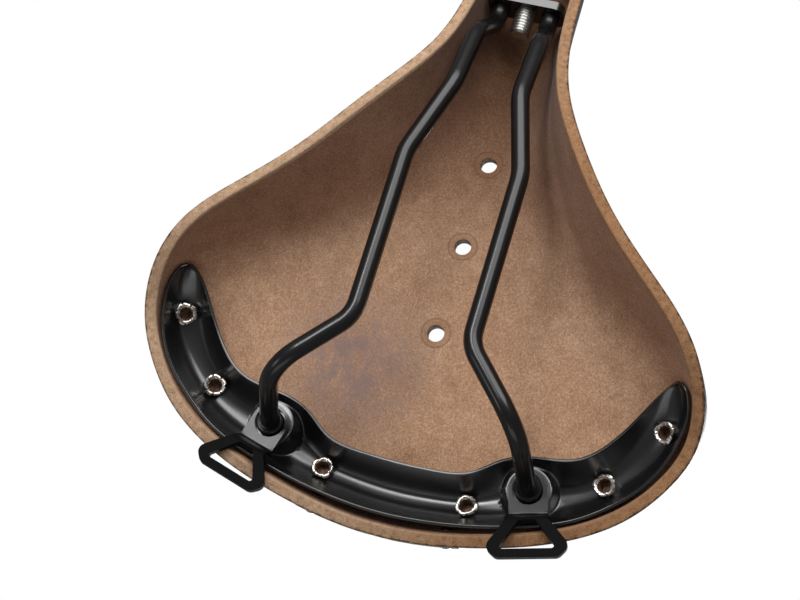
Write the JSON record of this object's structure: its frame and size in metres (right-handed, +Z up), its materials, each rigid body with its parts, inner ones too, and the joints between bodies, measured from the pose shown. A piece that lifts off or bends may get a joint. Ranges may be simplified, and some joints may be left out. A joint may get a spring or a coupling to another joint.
{
  "type": "bicycle saddle",
  "caption": "Wide unsprung bicycle saddle: thick leather stretched from a steel cantle plate to a nose tension bolt, carried on twin black steel rails, with bag loops at the back.",
  "frame": {"origin": "midway between the two rails, at the middle of the straight stretch that a seat post clamps, at the height of the rails' centres", "axes": "+X to the nose, +Y to the rider's left, +Z up"},
  "size_m": [0.2617, 0.2142, 0.0705],
  "materials": {
    "suede_leather": "vegetable tanned leather, rough flesh side below, dark smooth grain side above",
    "black_enamel": "satin gloss black stove enamel on steel",
    "bright_nickel": "bright nickel plated tubular steel rivets",
    "badge_steel": "plain satin steel, no lettering",
    "plated_steel": "zinc plated steel"
  },
  "bodies": {
    "saddle": {"leather_top": "suede_leather", "cantle_plate": "black_enamel", "badge_plate": "badge_steel", "badge_rivet_left": "bright_nickel", "badge_rivet_right": "bright_nickel", "rail_left": "black_enamel", "rail_right": "black_enamel", "bag_loop_left": "black_enamel", "bag_loop_right": "black_enamel", "rail_bridge": "black_enamel", "rear_rivet_1": "bright_nickel", "rear_rivet_2": "bright_nickel", "rear_rivet_3": "bright_nickel", "rear_rivet_4": "bright_nickel", "rear_rivet_5": "bright_nickel", "rear_rivet_6": "bright_nickel"},
    "tension_nut": {"tension_nut": "plated_steel"},
    "nose": {"nose_plate": "black_enamel", "tension_shackle": "black_enamel", "tension_bolt": "plated_steel", "nose_rivet_1": "bright_nickel", "nose_rivet_2": "bright_nickel", "nose_rivet_3": "bright_nickel", "nose_rivet_4": "bright_nickel", "nose_rivet_5": "bright_nickel"}
  },
  "joints": [
    {"name": "tension_nut_turn", "type": "hinge", "parent": "saddle", "child": "tension_nut", "pos_m": [0.1188, 0, 0.028], "axis": [-1, 0, 0], "range_deg": [0, 1440]},
    {"name": "nose_slide", "type": "slide", "parent": "saddle", "child": "nose", "axis": [1, 0, 0], "range_m": [0, 0.005], "deforming": ["leather_top"]}
  ],
  "couplings": [
    {"joint": "tension_nut_turn", "follows": "nose_slide", "rad_per_m": 5026.5}
  ]
}
